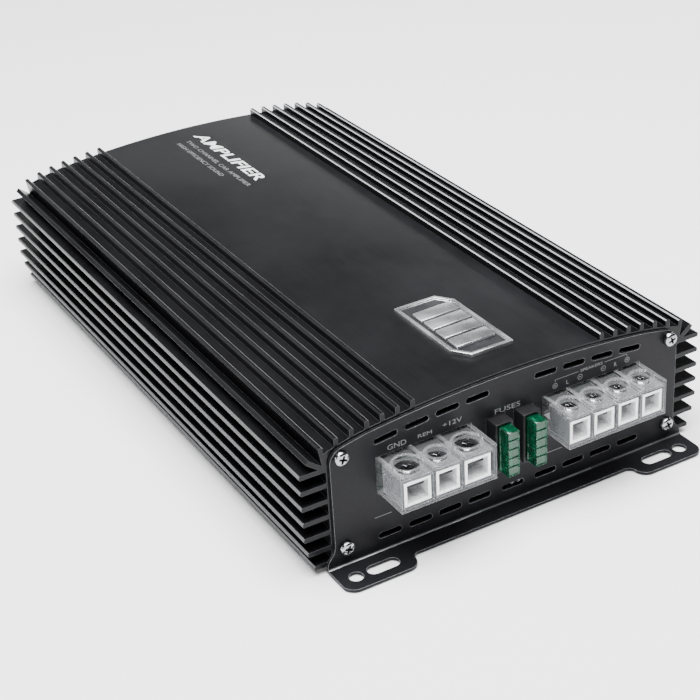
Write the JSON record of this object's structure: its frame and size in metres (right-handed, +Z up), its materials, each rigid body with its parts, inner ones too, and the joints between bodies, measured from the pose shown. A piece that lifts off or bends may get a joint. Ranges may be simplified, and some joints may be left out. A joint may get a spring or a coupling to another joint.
{
  "type": "car audio amplifier",
  "caption": "Finned in-vehicle audio power amplifier with clamp terminals, blade fuses, end panels with mounting ears and rear input controls.",
  "frame": {"origin": "middle of the four mounting holes, in the plane of the surface the amplifier is screwed to", "axes": "+X to the right when facing the terminal panel, +Y from the terminal panel towards the input panel, +Z up"},
  "size_m": [0.1804, 0.3268, 0.0611],
  "materials": {
    "black_anodised": "satin black",
    "brushed_black": "brushed satin black",
    "badge_silver": "satin silver",
    "panel_black": "fine-texture powder coat",
    "zinc_steel": "bright zinc",
    "black_steel": "black zinc",
    "clear_plastic": "clear moulded plastic",
    "tin_plate": "bright nickel plate",
    "black_plastic": "moulded",
    "knob_black": "moulded, fine texture",
    "fuse_green": "clear green plastic",
    "brass_clip": "tinned spring brass",
    "led_lens": "clear lens",
    "board_green": "solder mask",
    "brass": "turned",
    "ferrite": "sintered",
    "copper_wire": "enamelled copper",
    "cap_sleeve": "shrink sleeve",
    "chip_black": "moulded",
    "silicone_grey": "silicone sheet",
    "white_plastic": "moulded",
    "red_plastic": "moulded"
  },
  "bodies": {
    "amplifier": {"heatsink": "black_anodised", "top_plate": "brushed_black", "badge": "badge_silver", "bottom_plate": "panel_black", "bottom_plate_screws": "black_steel", "front_panel": "panel_black", "front_panel_screws": "zinc_steel", "rear_panel": "panel_black", "rear_panel_screws": "zinc_steel", "power_block": "clear_plastic", "power_cages": "tin_plate", "speaker_block": "clear_plastic", "speaker_cages": "tin_plate", "left_fuse_holder": "black_plastic", "right_fuse_holder": "black_plastic", "fuse_clips": "brass_clip", "led_carrier": "black_plastic", "status_leds": "led_lens", "circuit_board": "board_green", "board_screws": "zinc_steel", "board_standoffs": "brass", "transformer_core": "ferrite", "transformer_winding": "copper_wire", "chokes": "copper_wire", "capacitors": "cap_sleeve", "driver_chips": "chip_black", "transistors": "chip_black", "thermal_pads": "silicone_grey", "clamp_bars": "zinc_steel", "clamp_bar_screws": "zinc_steel", "rca_housing": "black_plastic", "rca_shells": "tin_plate", "rca_insert_left": "white_plastic", "rca_insert_right": "red_plastic", "potentiometers": "black_plastic", "switch_body": "tin_plate"},
    "power_pad_1": {"power_pad_1": "tin_plate"},
    "power_screw_1": {"power_screw_1": "zinc_steel"},
    "power_pad_2": {"power_pad_2": "tin_plate"},
    "power_screw_2": {"power_screw_2": "zinc_steel"},
    "power_pad_3": {"power_pad_3": "tin_plate"},
    "power_screw_3": {"power_screw_3": "zinc_steel"},
    "speaker_pad_1": {"speaker_pad_1": "tin_plate"},
    "speaker_screw_1": {"speaker_screw_1": "zinc_steel"},
    "speaker_pad_2": {"speaker_pad_2": "tin_plate"},
    "speaker_screw_2": {"speaker_screw_2": "zinc_steel"},
    "speaker_pad_3": {"speaker_pad_3": "tin_plate"},
    "speaker_screw_3": {"speaker_screw_3": "zinc_steel"},
    "speaker_pad_4": {"speaker_pad_4": "tin_plate"},
    "speaker_screw_4": {"speaker_screw_4": "zinc_steel"},
    "left_fuse": {"left_fuse": "fuse_green", "left_fuse_blades": "tin_plate"},
    "right_fuse": {"right_fuse": "fuse_green", "right_fuse_blades": "tin_plate"},
    "gain_knob": {"gain_knob": "knob_black"},
    "crossover_knob": {"crossover_knob": "knob_black"},
    "bass_knob": {"bass_knob": "knob_black"},
    "switch_slider": {"switch_slider": "white_plastic"}
  },
  "joints": [
    {"name": "power_pad_1_travel", "type": "slide", "parent": "amplifier", "child": "power_pad_1", "axis": [0, 0, -1], "range_m": [-0.0018, 0.0013]},
    {"name": "power_screw_1_turn", "type": "hinge", "parent": "power_pad_1", "child": "power_screw_1", "pos_m": [-0.05175, -0.1558, 0.038], "axis": [0, 0, 1], "range_deg": [-470, 650]},
    {"name": "power_pad_2_travel", "type": "slide", "parent": "amplifier", "child": "power_pad_2", "axis": [0, 0, -1], "range_m": [-0.0018, 0.0013]},
    {"name": "power_screw_2_turn", "type": "hinge", "parent": "power_pad_2", "child": "power_screw_2", "pos_m": [-0.0389, -0.1558, 0.038], "axis": [0, 0, 1], "range_deg": [-470, 650]},
    {"name": "power_pad_3_travel", "type": "slide", "parent": "amplifier", "child": "power_pad_3", "axis": [0, 0, -1], "range_m": [-0.0018, 0.0013]},
    {"name": "power_screw_3_turn", "type": "hinge", "parent": "power_pad_3", "child": "power_screw_3", "pos_m": [-0.02605, -0.1558, 0.038], "axis": [0, 0, 1], "range_deg": [-470, 650]},
    {"name": "speaker_pad_1_travel", "type": "slide", "parent": "amplifier", "child": "speaker_pad_1", "axis": [0, 0, -1], "range_m": [-0.0015, 0.0019]},
    {"name": "speaker_screw_1_turn", "type": "hinge", "parent": "speaker_pad_1", "child": "speaker_screw_1", "pos_m": [0.01997, -0.1558, 0.038], "axis": [0, 0, 1], "range_deg": [-860, 680]},
    {"name": "speaker_pad_2_travel", "type": "slide", "parent": "amplifier", "child": "speaker_pad_2", "axis": [0, 0, -1], "range_m": [-0.0015, 0.0019]},
    {"name": "speaker_screw_2_turn", "type": "hinge", "parent": "speaker_pad_2", "child": "speaker_screw_2", "pos_m": [0.03132, -0.1558, 0.038], "axis": [0, 0, 1], "range_deg": [-860, 680]},
    {"name": "speaker_pad_3_travel", "type": "slide", "parent": "amplifier", "child": "speaker_pad_3", "axis": [0, 0, -1], "range_m": [-0.0015, 0.0019]},
    {"name": "speaker_screw_3_turn", "type": "hinge", "parent": "speaker_pad_3", "child": "speaker_screw_3", "pos_m": [0.04267, -0.1558, 0.038], "axis": [0, 0, 1], "range_deg": [-860, 680]},
    {"name": "speaker_pad_4_travel", "type": "slide", "parent": "amplifier", "child": "speaker_pad_4", "axis": [0, 0, -1], "range_m": [-0.0015, 0.0019]},
    {"name": "speaker_screw_4_turn", "type": "hinge", "parent": "speaker_pad_4", "child": "speaker_screw_4", "pos_m": [0.05402, -0.1558, 0.038], "axis": [0, 0, 1], "range_deg": [-860, 680]},
    {"name": "left_fuse_pull", "type": "slide", "parent": "amplifier", "child": "left_fuse", "axis": [0, -1, 0], "range_m": [0, 0.02]},
    {"name": "right_fuse_pull", "type": "slide", "parent": "amplifier", "child": "right_fuse", "axis": [0, -1, 0], "range_m": [0, 0.02]},
    {"name": "gain_knob_turn", "type": "hinge", "parent": "amplifier", "child": "gain_knob", "pos_m": [0.012, 0.15, 0.034], "axis": [0, 1, 0], "range_deg": [-150, 150]},
    {"name": "crossover_knob_turn", "type": "hinge", "parent": "amplifier", "child": "crossover_knob", "pos_m": [-0.01, 0.15, 0.034], "axis": [0, 1, 0], "range_deg": [-150, 150]},
    {"name": "bass_knob_turn", "type": "hinge", "parent": "amplifier", "child": "bass_knob", "pos_m": [-0.032, 0.15, 0.034], "axis": [0, 1, 0], "range_deg": [-150, 150]},
    {"name": "switch_slide", "type": "slide", "parent": "amplifier", "child": "switch_slider", "axis": [1, 0, 0], "range_m": [-0.003, 0.003]}
  ],
  "couplings": [
    {"joint": "power_screw_1_turn", "follows": "power_pad_1_travel", "rad_per_m": -6283.2},
    {"joint": "power_screw_2_turn", "follows": "power_pad_2_travel", "rad_per_m": -6283.2},
    {"joint": "power_screw_3_turn", "follows": "power_pad_3_travel", "rad_per_m": -6283.2},
    {"joint": "speaker_screw_1_turn", "follows": "speaker_pad_1_travel", "rad_per_m": -7854},
    {"joint": "speaker_screw_2_turn", "follows": "speaker_pad_2_travel", "rad_per_m": -7854},
    {"joint": "speaker_screw_3_turn", "follows": "speaker_pad_3_travel", "rad_per_m": -7854},
    {"joint": "speaker_screw_4_turn", "follows": "speaker_pad_4_travel", "rad_per_m": -7854}
  ]
}
